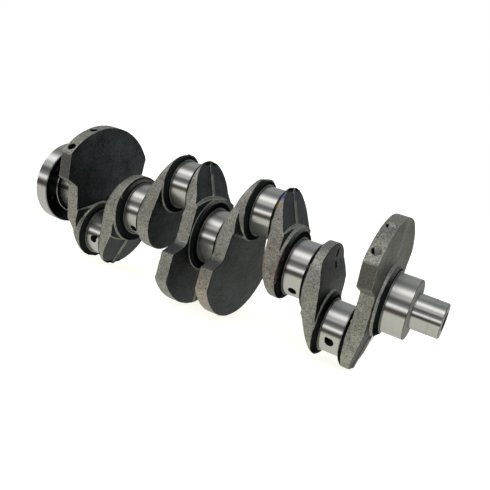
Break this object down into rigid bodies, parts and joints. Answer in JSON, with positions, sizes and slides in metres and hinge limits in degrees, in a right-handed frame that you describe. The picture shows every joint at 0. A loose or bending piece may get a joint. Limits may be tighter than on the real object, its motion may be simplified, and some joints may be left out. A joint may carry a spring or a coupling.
{
  "type": "crankshaft",
  "caption": "Forged engine crankshaft with ground journals, offset crankpins, counterweighted webs, oil drillings, a plain nose and a bolted flywheel flange.",
  "frame": {"origin": "centre of main journal 3, on the crankshaft's axis", "axes": "+X along the crankshaft's axis towards the nose, +Z along the throw of crankpins 2 and 3, +Y across the webs"},
  "size_m": [0.4376, 0.1247, 0.1466],
  "materials": {
    "ground_journal": "ground and polished bearing steel, fine lines round the journal",
    "turned_steel": "fine turned steel",
    "forged_skin": "shot-blasted forging skin, warm grey and granular on the edges, darker and smoother on the faces",
    "hardened_pin": "ground dowel steel"
  },
  "bodies": {
    "root": {"nose": "turned_steel", "main_journal_1": "ground_journal", "main_journal_2": "ground_journal", "main_journal_3": "ground_journal", "main_journal_4": "ground_journal", "main_journal_5": "ground_journal", "crankpin_1": "ground_journal", "crankpin_2": "ground_journal", "crankpin_3": "ground_journal", "crankpin_4": "ground_journal", "web_1": "forged_skin", "web_2": "forged_skin", "web_3": "forged_skin", "web_4": "forged_skin", "web_5": "forged_skin", "web_6": "forged_skin", "web_7": "forged_skin", "web_8": "forged_skin", "oil_thrower_collar": "turned_steel", "flywheel_flange": "turned_steel", "flywheel_dowel_pin": "hardened_pin"}
  },
  "joints": []
}
